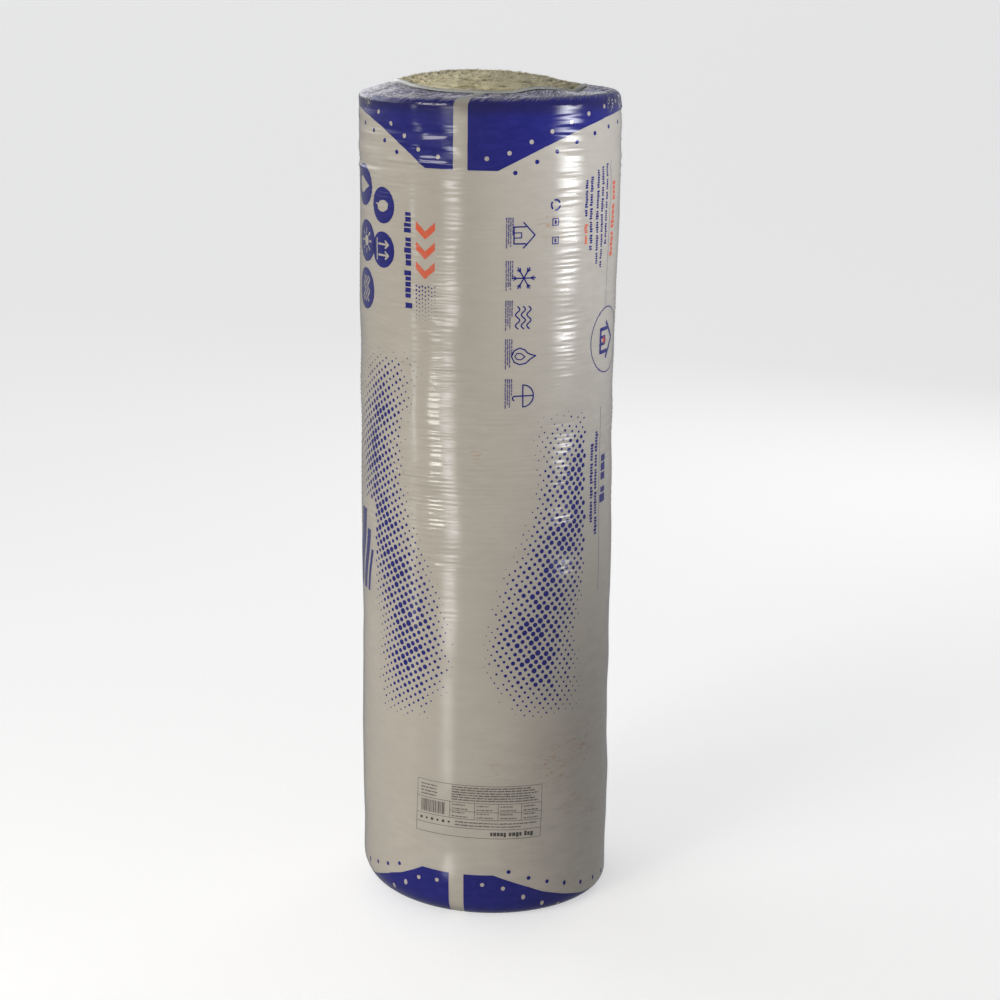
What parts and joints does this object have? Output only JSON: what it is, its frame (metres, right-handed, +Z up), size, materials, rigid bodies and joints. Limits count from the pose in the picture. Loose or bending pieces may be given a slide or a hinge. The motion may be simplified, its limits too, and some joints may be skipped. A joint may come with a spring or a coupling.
{
  "type": "insulation roll",
  "caption": "Roll of glass wool insulation mat standing on end, shrink-wrapped in a printed film sleeve that leaves a wavy opening at each end where the wound turns show.",
  "frame": {"origin": "on the floor, under the middle of the standing roll", "axes": "+Z up along the roll's winding axis; -Y is the side that the picture shows from the front"},
  "size_m": [0.365, 0.365, 1.2],
  "materials": {
    "glass_wool": "matte",
    "shrink_film": "glossy",
    "ink_blue": "glossy",
    "ink_orange": "glossy",
    "ink_dark": "glossy"
  },
  "bodies": {
    "root": {"wool_roll": "glass_wool", "wrap_film": "shrink_film"}
  },
  "joints": []
}
